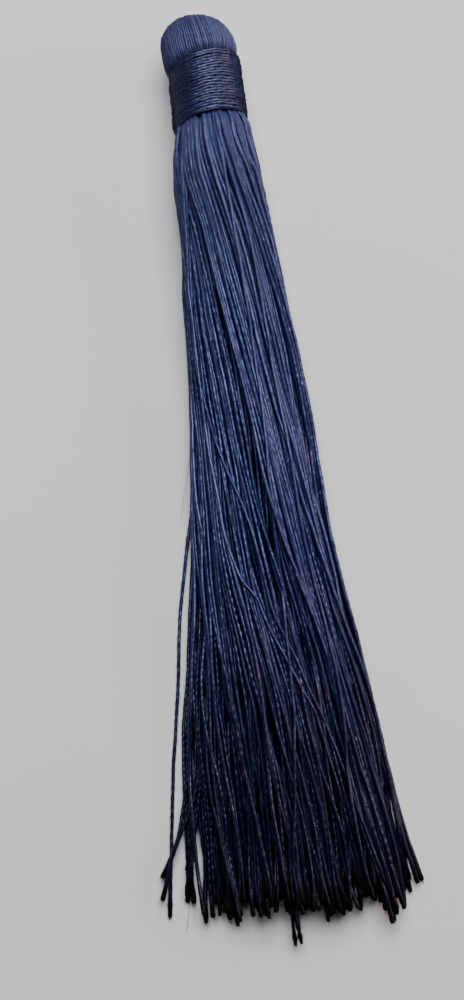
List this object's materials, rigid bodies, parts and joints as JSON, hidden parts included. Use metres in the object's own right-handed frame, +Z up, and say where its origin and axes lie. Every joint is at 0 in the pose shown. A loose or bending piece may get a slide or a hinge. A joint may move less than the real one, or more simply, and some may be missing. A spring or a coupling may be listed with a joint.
{
  "type": "tassel",
  "caption": "Thread tassel lying on its side: a rounded folded head, a neck bound with wound thread, and a long loose skirt of strands fanning out to its cut ends.",
  "frame": {"origin": "on the flat underside of the binding, half way along the neck", "axes": "+Y from the cut ends to the head, +Z up from the floor, +X to the right seen from above with the head at the top"},
  "size_m": [0.0328, 0.1263, 0.0104],
  "materials": {
    "hank_thread": "satin thread, black with a blue-violet sheen",
    "binding_thread": "fine satin thread, black with a blue sheen"
  },
  "bodies": {
    "root": {"hank": "hank_thread", "binding": "binding_thread"}
  },
  "joints": []
}
